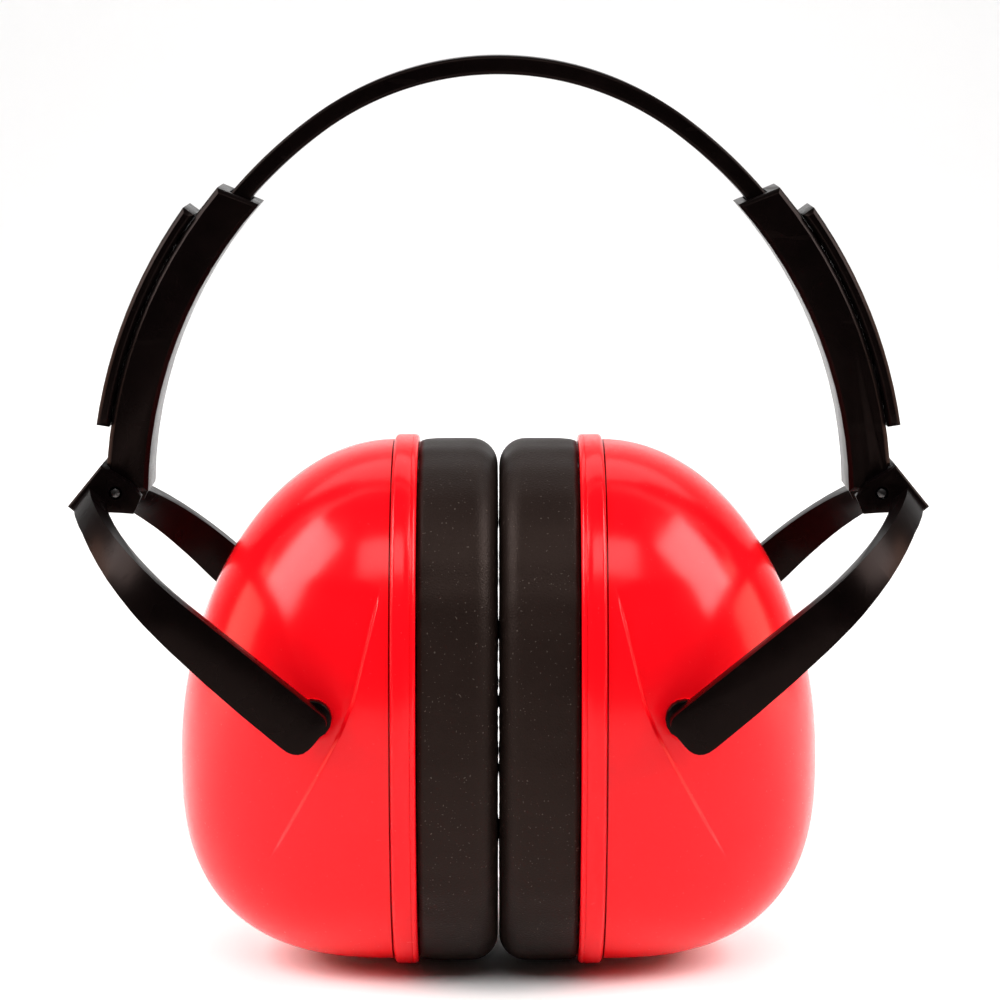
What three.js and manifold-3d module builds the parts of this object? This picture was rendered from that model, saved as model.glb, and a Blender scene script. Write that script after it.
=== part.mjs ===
// A folding earmuff hearing protector: a springy head strip, two arms that slide along its ends, a two-pronged
// yoke hinged to each arm, and a domed cup with a ring cushion that tilts between the prongs of each yoke.
//
// Lengths are in millimetres and angles in degrees. +X is the object's right, -Y its front and +Z is up. The
// origin is the middle of the small flat under the crown of the head strip, where it rests on a head.
// The left side is modelled, and the right side is its mirror image.

import * as THREE from "three";
import { mergeVertices } from "three/addons/utils/BufferGeometryUtils.js";
import Module from "manifold-3d";

// ---------------------------------------------------------------------------------------------------------
// Driving dimensions
// ---------------------------------------------------------------------------------------------------------

const GAP = 0.3; // between pieces that touch
const HEAD_HEIGHT = 129; // from the crown's underside down to the middle of the cups

const STRIP = {
  crownRadius: 62, // centreline of the arc over the head
  crownHalfAngle: 36, // from the vertical to where the crown arc meets the shoulder arc
  shoulderRadius: 95, // centreline of the arc that the arms slide along
  thickness: 3.8,
  width: 11,
  flat: 6, // length of the flat under the crown
  edge: 0.6,
};

const ARM = {
  shoulderSeen: 21.5, // length of strip between the crown arc and the arm's mouth
  travel: 30, // how far the arm slides along the strip
  mouthSlant: 2.9, // the mouth's inner edge reaches this much further along the strip than its outer edge
  throat: 8, // narrow stretch behind the mouth that stops the clip
  root: 20.8, // solid stretch from the end of the track to the pin
  innerWall: 1.8,
  outerWall: 2.4,
  width: 17,
  edge: 0.9,
};

const CLIP = {
  length: 6,
  cheek: 1.2, // wall on each side of the strip
  grip: 4, // length of strip that it holds
  play: 0.5, // behind it, when the arm is pushed right home
};

const COVER = {
  thickness: 2.7,
  standOff: 0.3,
  width: 16.4,
  edge: 0.8,
  fromMouth: 8.4,
  fromPin: 12.4,
  pegRadius: 1.5,
  pegDepth: 1.3, // how far a peg goes into the arm's outer wall
  pegInset: 6, // from the cover's end to the peg's middle
};

const HINGE = {
  pinRadius: 1.1,
  pinOffset: 2.3, // the pin lies this far outside the strip's centreline
  knuckleRadius: 3.5, // of the arm's lower end
  earWidth: 2.6, // the yoke has an ear on each side of the arm
};

const YOKE = {
  pivotDrop: 5.2, // the stud axis lies this far under the yoke's own long axis
  crownReach: 3.7, // the strap's centreline passes this far outside the pin
  crownDepth: 28, // length of the curved crown, up to the straight prongs
  strap: 4.2, // thickness of the strap
  top: -2.4, // heights of the strap's edges, above the yoke's own long axis
  crownBottom: -7.6,
  prongBottom: -12.4,
  fullBefore: 2.8, // the strap has its full height this far before the stud axis
  prongPast: 3, // length of prong past the stud axis
  prongTopRound: 2.8,
  prongBottomRound: 4.2,
  tab: 1.8, // thickness of the stop tab
  tabTop: 2.6,
  tabBottom: -8.3,
  earTop: 3.5, // heights and reach of the ears
  earCorner: 2.8,
  earFront: 5.5,
  earStep: 1.4, // the ear's front end stands this far above the strap
};

const STUD = {
  shankRadius: 2.5,
  collarRadius: 3.9,
  collar: 2.4, // seen between prong and cup
  tipRadius: 1.4, // of the thinner end in the prong
  socket: 2.7, // how far that end goes in
  headRadius: 3.6,
  head: 1.2,
};

const CUP = {
  height: 110,
  width: 84,
  power: 2.3, // of the superellipse that is the cup's outline
  domeDepth: 44.8,
  apexDrop: 12.6, // the dome's outermost point lies this far under the cup's middle
  lowerPower: 2.6, // of the dome's fuller lower half
  wall: 2.5,
  step: 1, // the rim stands this far outside the dome
  pivotDepth: 15.3, // from the rim's back plane to the stud axis
  pivotRise: 4.3, // from the cup's middle to the stud axis
  bossRadius: 5.2,
  bossRise: 0.5, // outside the dome's side
  bossDepth: 4.4, // from the outer to the inner face of the boss
};

const RIM = {
  depth: 5,
  band: 4.3, // how wide the rim is, seen from the cushion's side
  edge: 0.9,
};

const CUSHION = {
  thickness: 16.2,
  inset: 0.8, // inside the rim's outline
  ringWidth: 19.2,
  round: 5.5,
  skin: 0.9,
  plate: 1.5,
  plateHem: 1.3, // how far the plate's edges lie inside the cushion's
  skirtDepth: 4, // the plate's snap skirt, inside the cup
  skirtWall: 1.6,
};

const LINER = {
  thickness: 8,
  edgeDepth: 21, // from the rim's back plane to the liner's edge
  clearance: 0.6,
};

const RING_STEPS = 28; // points round the cup's pieces
const DOME_STEPS = 7; // from the apex to the rim
const ROUND_STEPS = 16; // points round pins and studs
const ARC_STEPS = 6; // each arc of an outline gets twice as many edges

// ---------------------------------------------------------------------------------------------------------
// Solids
// ---------------------------------------------------------------------------------------------------------

const wasm = await Module();
wasm.setup();

const radians = THREE.MathUtils.degToRad;
const degrees = THREE.MathUtils.radToDeg;

// A closed geometry as a solid that can be joined and cut.
function solidOf(geometry) {
  const bare = geometry.clone();
  bare.deleteAttribute("normal");
  bare.deleteAttribute("uv");
  const merged = mergeVertices(bare, 1e-4);
  return new wasm.Manifold(
    new wasm.Mesh({
      numProp: 3,
      vertProperties: new Float32Array(merged.attributes.position.array),
      triVerts: new Uint32Array(merged.index.array),
    }),
  );
}

// A solid's surface, ready to be drawn.
function geometryOf(solid) {
  const mesh = solid.getMesh();
  const geometry = new THREE.BufferGeometry();
  geometry.setAttribute("position", new THREE.BufferAttribute(mesh.vertProperties, 3));
  geometry.setIndex(new THREE.BufferAttribute(mesh.triVerts, 1));
  return geometry;
}

// An outline drawn in X and Z, made into a plate that lies evenly on both sides of Y = 0.
function plate(outline, width, edge = 0) {
  const geometry = new THREE.ExtrudeGeometry(outline, {
    depth: width - 2 * edge,
    curveSegments: ARC_STEPS,
    bevelEnabled: edge > 0,
    bevelThickness: edge,
    bevelSize: edge,
    bevelOffset: -edge,
    bevelSegments: 1,
  });
  geometry.translate(0, 0, -(width - 2 * edge) / 2);
  geometry.rotateX(Math.PI / 2);
  return solidOf(geometry);
}

// A round bar along Y.
function bar(radius, length, x, y, z) {
  return solidOf(new THREE.CylinderGeometry(radius, radius, length, ROUND_STEPS).translate(x, y, z));
}

// The outline of part of a ring. The angles are measured from +X.
function sector(centre, inner, outer, from, to) {
  const outline = new THREE.Shape();
  outline.absarc(centre.x, centre.z, outer, radians(from), radians(to), false);
  outline.absarc(centre.x, centre.z, inner, radians(to), radians(from), true);
  outline.closePath();
  return outline;
}

// The point at an angle and a distance from a centre, in the plane of X and Z.
function polar(centre, radius, angle) {
  return {
    x: centre.x + radius * Math.cos(radians(angle)),
    z: centre.z + radius * Math.sin(radians(angle)),
  };
}

// A surface through superellipse rings that face along X. The rings run towards +X on the outside of the solid
// and back on its inside; the first and last either coincide or shrink to a point.
function ringLoft(rings) {
  const geometry = new THREE.LatheGeometry(
    rings.map(() => new THREE.Vector2(1, 0)),
    RING_STEPS,
  );
  const position = geometry.attributes.position;
  for (let step = 0; step <= RING_STEPS; step++) {
    const turn = (2 * Math.PI * (step % RING_STEPS)) / RING_STEPS;
    rings.forEach((ring, i) => {
      const spread = (value) => Math.sign(value) * Math.abs(value) ** (2 / CUP.power);
      const middle = (ring.top + ring.bottom) / 2;
      position.setXYZ(
        step * rings.length + i,
        ring.x,
        -ring.halfWidth * spread(Math.sin(turn)),
        middle + ((ring.top - ring.bottom) / 2) * spread(Math.cos(turn)),
      );
    });
  }
  return solidOf(geometry);
}

// ---------------------------------------------------------------------------------------------------------
// Places that several pieces share
// ---------------------------------------------------------------------------------------------------------

// The crown arc's inner side ends in a short flat, whose middle is the origin.
const crownInner = STRIP.crownRadius - STRIP.thickness / 2;
const crownCentre = { x: 0, z: -Math.sqrt(crownInner ** 2 - (STRIP.flat / 2) ** 2) };

// The shoulder arc is tangent to the crown arc where they meet.
const meetAngle = 90 + STRIP.crownHalfAngle;
const shoulderCentre = polar(crownCentre, STRIP.crownRadius - STRIP.shoulderRadius, meetAngle);

// Places along the shoulder, as the angle at a length of strip past the arm's mouth.
const mouthAngle = meetAngle + degrees(ARM.shoulderSeen / STRIP.shoulderRadius);
const alongArm = (length) => mouthAngle + degrees(length / STRIP.shoulderRadius);
const clipStart = ARM.throat + ARM.travel + GAP;
const stripEnd = clipStart + CLIP.grip;
const trackEnd = clipStart + CLIP.length + CLIP.play;
const pinAt = trackEnd + ARM.root;
const pin = polar(shoulderCentre, STRIP.shoulderRadius + HINGE.pinOffset, alongArm(pinAt));

const armInner = STRIP.shoulderRadius - STRIP.thickness / 2 - GAP - ARM.innerWall;
const armOuter = STRIP.shoulderRadius + STRIP.thickness / 2 + GAP + ARM.outerWall;
const betweenEars = ARM.width + 2 * GAP;
const hubWidth = betweenEars + 2 * HINGE.earWidth;

// The cup's own frame has X = 0 on the cushion's face and Z = 0 at the cup's middle.
const rimFront = -CUSHION.thickness;
const rimBack = rimFront - RIM.depth;
const cupPlace = { x: -GAP / 2, z: -HEAD_HEIGHT };
const pivotInCup = { x: rimBack - CUP.pivotDepth, z: CUP.pivotRise };
const pivot = { x: cupPlace.x + pivotInCup.x, z: cupPlace.z + pivotInCup.z };

// The yoke's own frame has its origin on the pin, X along the yoke and Z across it, up and inwards. It is turned
// so that the stud axis lies where the cup needs it.
const pinToPivot = Math.hypot(pivot.x - pin.x, pivot.z - pin.z);
const yokeAngle =
  degrees(Math.atan2(pivot.z - pin.z, pivot.x - pin.x)) + degrees(Math.asin(YOKE.pivotDrop / pinToPivot));
const pivotAlong = Math.sqrt(pinToPivot ** 2 - YOKE.pivotDrop ** 2);
const inYokeFrame = (solid) => solid.rotate([0, -yokeAngle, 0]).translate([pin.x, 0, pin.z]);

// The tab is a plate across the yoke's crown, level with the strap's outer side.
const tabOuter = -YOKE.crownReach - YOKE.strap / 2;
const tabInner = tabOuter + YOKE.tab;

// A ring of the cup's outline, a little inside it.
function outlineRing(x, inset) {
  return { x, halfWidth: CUP.width / 2 - inset, top: CUP.height / 2 - inset, bottom: inset - CUP.height / 2 };
}

// A ring of the dome, or of a surface that lies a little inside it. The share runs from 0 at the rim to 1 at
// the apex.
function domeRing(share, inset) {
  const upper = CUP.height / 2 - CUP.step + CUP.apexDrop - inset;
  const lower = CUP.height / 2 - CUP.step - CUP.apexDrop - inset;
  const round = Math.sqrt(1 - share ** 2);
  const full = (1 - share ** CUP.lowerPower) ** (1 / CUP.lowerPower);
  return {
    x: rimBack - share * (CUP.domeDepth - inset),
    halfWidth: (CUP.width / 2 - CUP.step - inset) * round,
    top: upper * round - CUP.apexDrop,
    bottom: -lower * full - CUP.apexDrop,
  };
}

// Shares of the dome's depth that are evenly spread round its curve, from one share up to the apex.
function domeShares(from, steps) {
  const start = Math.asin(from);
  return Array.from({ length: steps + 1 }, (_, i) => Math.sin(start + ((Math.PI / 2 - start) * i) / steps));
}

// Half the dome's width, level with the studs.
function halfWidthAtPivot() {
  const ring = domeRing(CUP.pivotDepth / CUP.domeDepth, 0);
  const height = (CUP.pivotRise - (ring.top + ring.bottom) / 2) / ((ring.top - ring.bottom) / 2);
  return ring.halfWidth * (1 - Math.abs(height) ** CUP.power) ** (1 / CUP.power);
}

const bossFace = halfWidthAtPivot() + CUP.bossRise;
const prongInner = bossFace + GAP + STUD.collar + GAP;

// ---------------------------------------------------------------------------------------------------------
// Pieces
// ---------------------------------------------------------------------------------------------------------

// One side of the strip's outline, from the flat out to the end that is hidden in the arm, or back.
function stripSide(outline, offset, outwards) {
  const crown = STRIP.crownRadius + offset;
  const shoulder = STRIP.shoulderRadius + offset;
  const flatAngle = 90 + degrees(Math.asin(STRIP.flat / 2 / crownInner));
  const endAngle = alongArm(stripEnd);
  const left = [
    [crownCentre, crown, flatAngle, meetAngle],
    [shoulderCentre, shoulder, meetAngle, endAngle],
  ];
  const right = left.map(([centre, radius, from, to]) => [{ x: -centre.x, z: centre.z }, radius, 180 - to, 180 - from]);
  const arcs = [...right.reverse(), ...left];
  if (outwards) {
    arcs.forEach(([centre, radius, from, to]) =>
      outline.absarc(centre.x, centre.z, radius, radians(from), radians(to), false),
    );
    return;
  }
  arcs
    .reverse()
    .forEach(([centre, radius, from, to]) =>
      outline.absarc(centre.x, centre.z, radius, radians(to), radians(from), true),
    );
}

// The arched strip: two crown arcs with the small flat between them, and a shoulder arc at each end.
function headBand() {
  const outline = new THREE.Shape();
  stripSide(outline, STRIP.thickness / 2, true);
  stripSide(outline, -STRIP.thickness / 2, false);
  outline.closePath();
  return plate(outline, STRIP.width, STRIP.edge);
}

// The clip on the strip's hidden end: two cheeks beside the strip and a block behind it.
function slideStop() {
  const half = STRIP.thickness / 2;
  const layer = (from, to) =>
    sector(shoulderCentre, STRIP.shoulderRadius - half, STRIP.shoulderRadius + half, alongArm(from), alongArm(to));
  const pocket = sector(
    shoulderCentre,
    STRIP.shoulderRadius - STRIP.thickness,
    STRIP.shoulderRadius + STRIP.thickness,
    alongArm(clipStart - 1),
    alongArm(stripEnd + GAP),
  );
  const clip = plate(layer(clipStart, clipStart + CLIP.length), STRIP.width + 2 * (GAP + CLIP.cheek));
  return clip.subtract(plate(pocket, STRIP.width + 2 * GAP));
}

// A peg of the cover, or the hole that it fits, standing across the arm at a length from its mouth.
function coverPeg(at, radius, depth) {
  const top = armOuter + COVER.standOff + COVER.thickness / 2;
  const length = COVER.standOff + COVER.thickness / 2 + depth;
  const geometry = new THREE.CylinderGeometry(radius, radius, length, ROUND_STEPS);
  const middle = polar(shoulderCentre, top - length / 2, alongArm(at));
  geometry.rotateZ(-Math.PI / 2);
  geometry.rotateY(-radians(alongArm(at)));
  geometry.translate(middle.x, 0, middle.z);
  return solidOf(geometry);
}

const coverPegs = [COVER.fromMouth + COVER.pegInset, pinAt - COVER.fromPin - COVER.pegInset];

// The plate on the outside of the arm, held by two pegs.
function armCover() {
  const inner = armOuter + COVER.standOff;
  const outline = sector(
    shoulderCentre,
    inner,
    inner + COVER.thickness,
    alongArm(COVER.fromMouth),
    alongArm(pinAt - COVER.fromPin),
  );
  return coverPegs.reduce(
    (cover, at) => cover.add(coverPeg(at, COVER.pegRadius, COVER.pegDepth)),
    plate(outline, COVER.width, COVER.edge),
  );
}

// The curved box that the strip slides into. Its lower end is round about the pin, with a flat that rests on
// the yoke's tab.
function armSleeve() {
  const tube = (inner, outer, from, to) => sector(shoulderCentre, inner, outer, alongArm(from), alongArm(to));
  const trackInner = armInner + ARM.innerWall;
  const trackOuter = armOuter - ARM.outerWall;
  const { x, z } = shoulderCentre;
  const end = radians(alongArm(pinAt));
  const body = new THREE.Shape();
  body.absarc(x, z, armOuter, radians(alongArm(ARM.mouthSlant / 2)), end, false);
  body.absarc(x, z, armInner, end, radians(alongArm(-ARM.mouthSlant / 2)), true);
  body.closePath();
  const shell = plate(body, ARM.width, ARM.edge);
  const knuckle = bar(HINGE.knuckleRadius, ARM.width, 0, 0, 0).translate([pin.x, 0, pin.z]);
  const deep = 20;
  const flat = new THREE.Shape();
  flat.moveTo(tabInner - deep, -deep);
  flat.lineTo(tabInner + GAP, -deep);
  flat.lineTo(tabInner + GAP, YOKE.tabTop + GAP);
  flat.lineTo(tabInner - deep, YOKE.tabTop + GAP);
  flat.closePath();
  const throat = plate(tube(trackInner, trackOuter, -ARM.mouthSlant - 1, ARM.throat + 1), STRIP.width + 2 * GAP);
  const track = plate(
    tube(trackInner, trackOuter, ARM.throat, trackEnd),
    STRIP.width + 2 * (GAP + CLIP.cheek + GAP),
  );
  const sleeve = shell.add(knuckle).subtract(inYokeFrame(plate(flat, 2 * ARM.width))).subtract(throat).subtract(track);
  return coverPegs
    .reduce((drilled, at) => drilled.subtract(coverPeg(at, COVER.pegRadius + GAP, COVER.pegDepth + GAP)), sleeve)
    .subtract(bar(HINGE.pinRadius + GAP, 2 * ARM.width, pin.x, 0, pin.z));
}

// The steel pin through the arm's end and the yoke's two ears.
function hingePin() {
  return bar(HINGE.pinRadius, hubWidth, pin.x, 0, pin.z);
}

// The strap of the yoke: a U that is widest at its prongs.
function yokeStrap() {
  const crownCentreX = YOKE.crownDepth - YOKE.crownReach;
  const prongMiddle = prongInner + YOKE.strap / 2;
  const prongEnd = pivotAlong + YOKE.prongPast;
  const fullAt = pivotAlong - YOKE.fullBefore;
  const half = YOKE.strap / 2;
  const quarter = Math.PI / 2;
  const bend = new THREE.Shape();
  bend.moveTo(prongEnd, prongMiddle + half);
  bend.absellipse(crownCentreX, 0, YOKE.crownDepth + half, prongMiddle + half, quarter, 3 * quarter, false);
  bend.lineTo(prongEnd, -prongMiddle - half);
  bend.lineTo(prongEnd, half - prongMiddle);
  bend.absellipse(crownCentreX, 0, YOKE.crownDepth - half, prongMiddle - half, 3 * quarter, quarter, true);
  bend.lineTo(prongEnd, prongMiddle - half);
  bend.closePath();
  const deep = 20;
  const bendGeometry = new THREE.ExtrudeGeometry(bend, {
    depth: 2 * deep,
    curveSegments: 2 * ARC_STEPS,
    bevelEnabled: false,
  }).translate(0, 0, -deep);

  const side = new THREE.Shape();
  side.moveTo(tabOuter, YOKE.top);
  side.lineTo(tabOuter, YOKE.crownBottom);
  side.lineTo(0, YOKE.crownBottom);
  side.quadraticCurveTo(fullAt / 2, YOKE.prongBottom, fullAt, YOKE.prongBottom);
  side.lineTo(prongEnd - YOKE.prongBottomRound, YOKE.prongBottom);
  side.quadraticCurveTo(prongEnd, YOKE.prongBottom, prongEnd, YOKE.prongBottom + YOKE.prongBottomRound);
  side.lineTo(prongEnd, YOKE.top - YOKE.prongTopRound);
  side.quadraticCurveTo(prongEnd, YOKE.top, prongEnd - YOKE.prongTopRound, YOKE.top);
  side.closePath();
  return solidOf(bendGeometry).intersect(plate(side, 4 * prongMiddle));
}

// The yoke, in its own frame: the strap, an ear on each side of the arm for the pin, and the tab that stops the
// fold where the arm's flat meets it.
function yoke() {
  const tabOutline = new THREE.Shape();
  tabOutline.moveTo(tabOuter, YOKE.tabBottom);
  tabOutline.lineTo(tabInner, YOKE.tabBottom);
  tabOutline.lineTo(tabInner, YOKE.tabTop);
  tabOutline.lineTo(tabOuter, YOKE.tabTop);
  tabOutline.closePath();

  const earFoot = (YOKE.top + YOKE.crownBottom) / 2;
  const earOutline = new THREE.Shape();
  earOutline.moveTo(tabInner - YOKE.tab / 2, earFoot);
  earOutline.lineTo(0, earFoot);
  earOutline.lineTo(HINGE.knuckleRadius, YOKE.top);
  earOutline.lineTo(YOKE.earFront, YOKE.top + YOKE.earStep);
  earOutline.lineTo(YOKE.earFront - 1, YOKE.earCorner);
  earOutline.lineTo(1, YOKE.earTop);
  earOutline.lineTo(tabInner - YOKE.tab / 2, YOKE.tabTop);
  earOutline.closePath();

  const ears = plate(earOutline, hubWidth).subtract(plate(earOutline, betweenEars));
  const knuckleRoom = bar(HINGE.knuckleRadius + GAP, betweenEars, 0, 0, 0);
  const pinHole = bar(HINGE.pinRadius + GAP, 2 * hubWidth, 0, 0, 0);
  const sockets = [-1, 1].map((end) =>
    bar(STUD.tipRadius + GAP, 2 * (STUD.socket + GAP), pivotAlong, end * prongInner, -YOKE.pivotDrop),
  );
  return [knuckleRoom, pinHole, ...sockets].reduce(
    (body, room) => body.subtract(room),
    yokeStrap().add(plate(tabOutline, hubWidth, YOKE.tab / 5)).add(ears),
  );
}

// A stud at the rear prong, along Y: a snap head inside the cup, the shank through its wall, the collar that is
// seen, and the thinner end in the prong.
function pivotStud() {
  const innerFace = bossFace - CUP.bossDepth;
  const headTop = innerFace - GAP;
  const profile = [
    [0, headTop - STUD.head],
    [STUD.headRadius, headTop - STUD.head],
    [STUD.headRadius, headTop],
    [STUD.shankRadius, headTop],
    [STUD.shankRadius, bossFace + GAP],
    [STUD.collarRadius, bossFace + GAP],
    [STUD.collarRadius, bossFace + GAP + STUD.collar],
    [STUD.tipRadius, bossFace + GAP + STUD.collar],
    [STUD.tipRadius, prongInner + STUD.socket],
    [0, prongInner + STUD.socket],
  ];
  return solidOf(
    new THREE.LatheGeometry(
      profile.map(([radius, y]) => new THREE.Vector2(radius, y)),
      ROUND_STEPS,
    ),
  );
}

// The domed shell, in the cup's frame: the dome outside, the spigot that the rim fits over, and the hollow.
function cupShell() {
  const spigotOuter = RIM.band + GAP;
  const spigotInner = spigotOuter + CUP.wall;
  const shoulder = rimBack - GAP;
  const hollowStart = shoulder - CUP.wall;
  const atShoulder = GAP / CUP.domeDepth;
  const atHollow = (rimBack - hollowStart) / (CUP.domeDepth - CUP.wall);
  const shell = ringLoft([
    ...domeShares(atShoulder, DOME_STEPS)
      .reverse()
      .map((share) => domeRing(share, 0)),
    outlineRing(shoulder, spigotOuter),
    outlineRing(rimFront - GAP, spigotOuter),
    outlineRing(rimFront - GAP, spigotInner),
    outlineRing(hollowStart, spigotInner),
    ...domeShares(atHollow, DOME_STEPS).map((share) => domeRing(share, CUP.wall)),
  ]);
  const acrossPivot = (radius, length, y) => bar(radius, length, pivotInCup.x, y, pivotInCup.z);
  return [-1, 1].reduce((body, end) => {
    const middle = end * (bossFace - CUP.bossDepth / 2);
    const boss = acrossPivot(CUP.bossRadius, CUP.bossDepth, middle);
    const hole = acrossPivot(STUD.shankRadius + GAP, 3 * CUP.bossDepth, middle);
    const headRoom = acrossPivot(STUD.headRadius + GAP, CUP.bossDepth, end * (bossFace - 1.5 * CUP.bossDepth));
    return body.add(boss).subtract(hole).subtract(headRoom);
  }, shell);
}

// The ring round the shell's open side.
function cupRim() {
  return ringLoft([
    outlineRing(rimBack, RIM.edge),
    outlineRing(rimBack + RIM.edge, 0),
    outlineRing(rimFront - RIM.edge, 0),
    outlineRing(rimFront, RIM.edge),
    outlineRing(rimFront, RIM.band),
    outlineRing(rimBack, RIM.band),
    outlineRing(rimBack, RIM.edge),
  ]);
}

// The backing ring of the cushion, with the skirt that snaps into the cup.
function cushionPlate() {
  const back = rimFront + GAP;
  const outer = CUSHION.inset + CUSHION.plateHem;
  const inner = CUSHION.inset + CUSHION.ringWidth - CUSHION.plateHem;
  const skirt = RIM.band + GAP + CUP.wall + GAP;
  return ringLoft([
    outlineRing(back - CUSHION.skirtDepth, skirt),
    outlineRing(back, skirt),
    outlineRing(back, outer),
    outlineRing(back + CUSHION.plate, outer),
    outlineRing(back + CUSHION.plate, inner),
    outlineRing(back, inner),
    outlineRing(back, skirt + CUSHION.skirtWall),
    outlineRing(back - CUSHION.skirtDepth, skirt + CUSHION.skirtWall),
    outlineRing(back - CUSHION.skirtDepth, skirt),
  ]);
}

// The cushion's section, a depth inside its surface: up its outer side, over its face and down its inner side.
function cushionSection(depth, back) {
  const outer = CUSHION.inset;
  const inner = CUSHION.inset + CUSHION.ringWidth;
  const round = CUSHION.round - depth;
  const steps = 3;
  const corner = (inset, from) =>
    Array.from({ length: steps + 1 }, (_, i) => {
      const angle = radians(from + (90 * i) / steps);
      return outlineRing(-CUSHION.round + round * Math.sin(angle), inset - round * Math.cos(angle));
    });
  return [
    outlineRing(back, outer + depth),
    ...corner(outer + CUSHION.round, 0),
    ...corner(inner - CUSHION.round, 90),
    outlineRing(back, inner - depth),
  ];
}

// The thin cover, open at the back, where it wraps the edges of the plate.
function cushionCover() {
  const back = rimFront + GAP;
  const outside = cushionSection(0, back);
  return ringLoft([...outside, ...cushionSection(CUSHION.skin, back).reverse(), outside[0]]);
}

// The foam ring, between the plate and the cover.
function cushionFoam() {
  const section = cushionSection(CUSHION.skin + GAP, rimFront + GAP + CUSHION.plate + GAP);
  return ringLoft([...section, section[0]]);
}

// The bowl of sound-absorbing foam in the dome.
function cupLiner() {
  const outside = CUP.wall + LINER.clearance;
  const inside = outside + LINER.thickness;
  const shares = (inset) => domeShares(LINER.edgeDepth / (CUP.domeDepth - inset), DOME_STEPS - 2);
  return ringLoft([
    ...shares(outside)
      .reverse()
      .map((share) => domeRing(share, outside)),
    ...shares(inside).map((share) => domeRing(share, inside)),
  ]);
}

// ---------------------------------------------------------------------------------------------------------
// Assembly
// ---------------------------------------------------------------------------------------------------------

const MATERIALS = {
  redShell: { color: 0xc0101a, roughness: 0.18, metalness: 0 },
  blackPlastic: { color: 0x1a1718, roughness: 0.42, metalness: 0 },
  blackNylon: { color: 0x201c1d, roughness: 0.55, metalness: 0 },
  steel: { color: 0x2c2b2b, roughness: 0.3, metalness: 1 },
  foil: { color: 0x1d1817, roughness: 0.5, metalness: 0 },
  foam: { color: 0x3a3d42, roughness: 0.95, metalness: 0 },
};

function part(name, solid, finish) {
  const mesh = new THREE.Mesh(geometryOf(solid), new THREE.MeshStandardMaterial(MATERIALS[finish]));
  mesh.name = name;
  return mesh;
}

// The moving pieces of the left side.
function leftSide() {
  const cupFrame = new THREE.Group();
  cupFrame.position.set(cupPlace.x, 0, cupPlace.z);
  cupFrame.add(
    part("left_cup_shell", cupShell(), "redShell"),
    part("left_cup_rim", cupRim(), "redShell"),
    part("left_cushion_plate", cushionPlate(), "blackPlastic"),
    part("left_cushion_foam", cushionFoam(), "foam"),
    part("left_cushion_cover", cushionCover(), "foil"),
    part("left_cup_liner", cupLiner(), "foam"),
  );

  const side = new THREE.Group();
  side.add(
    part("left_slide_stop", slideStop(), "blackNylon"),
    part("left_arm_sleeve", armSleeve(), "blackPlastic"),
    part("left_arm_cover", armCover(), "blackPlastic"),
    part("left_hinge_pin", hingePin(), "steel"),
    part("left_yoke", inYokeFrame(yoke()), "blackPlastic"),
    cupFrame,
  );
  for (const [name, turn] of [
    ["left_front_stud", Math.PI],
    ["left_rear_stud", 0],
  ]) {
    const stud = part(name, pivotStud(), "blackNylon");
    stud.position.set(pivot.x, 0, pivot.z);
    stud.rotation.z = turn;
    side.add(stud);
  }
  return side;
}

// The other side, mirrored in the plane X = 0, with its own names and materials.
function mirrored(side) {
  const copy = side.clone();
  copy.scale.x = -1;
  copy.traverse((object) => {
    if (object.isMesh) {
      object.name = object.name.replace("left_", "right_");
      object.material = object.material.clone();
    }
  });
  return copy;
}

const earmuff = new THREE.Group();
const left = leftSide();
earmuff.add(part("head_band", headBand(), "blackPlastic"), left, mirrored(left));

export default earmuff;
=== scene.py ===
"""A folding earmuff hearing protector with glossy red cups, black arms and vinyl ring cushions.

Sizes in the classes are in millimetres, and each finished mesh is in metres in the part's own frame: +X is
the object's right, -Y its front and +Z is up, and the origin is under the crown of the head strip.
"""

import logging
import math
from dataclasses import dataclass
from enum import Enum
from typing import Any, Sequence

import bmesh
import bpy
from mathutils import Matrix, Vector


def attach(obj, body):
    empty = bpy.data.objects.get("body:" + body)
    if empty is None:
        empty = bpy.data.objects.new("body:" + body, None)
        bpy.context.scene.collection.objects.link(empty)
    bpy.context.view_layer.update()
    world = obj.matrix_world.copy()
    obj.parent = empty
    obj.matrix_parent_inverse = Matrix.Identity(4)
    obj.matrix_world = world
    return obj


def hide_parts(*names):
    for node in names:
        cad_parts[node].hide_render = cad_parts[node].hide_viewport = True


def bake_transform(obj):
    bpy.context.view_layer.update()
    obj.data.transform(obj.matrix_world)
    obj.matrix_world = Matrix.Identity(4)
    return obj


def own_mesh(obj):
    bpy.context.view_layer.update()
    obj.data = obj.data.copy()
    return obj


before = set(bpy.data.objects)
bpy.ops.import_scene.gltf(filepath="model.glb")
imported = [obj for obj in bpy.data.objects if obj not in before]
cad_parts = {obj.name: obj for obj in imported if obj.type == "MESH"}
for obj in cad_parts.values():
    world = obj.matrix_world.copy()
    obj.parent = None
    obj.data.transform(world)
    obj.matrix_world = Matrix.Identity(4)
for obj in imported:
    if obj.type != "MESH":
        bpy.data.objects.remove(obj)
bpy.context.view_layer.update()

LOG = logging.getLogger("earmuff")
MM = 0.001


class Side(Enum):
    """The two mirrored sides of the earmuff."""

    LEFT = "left"
    RIGHT = "right"

    @property
    def sign(self) -> int:
        """The sign of X on this side, where sizes are written for the left one."""
        return 1 if self is Side.LEFT else -1

    def name(self, piece: str) -> str:
        """The name of one of this side's nodes, bodies or joints."""
        return f"{self.value}_{piece}"


# ---------------------------------------------------------------------------------------------------------
# Finishes
# ---------------------------------------------------------------------------------------------------------


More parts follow.
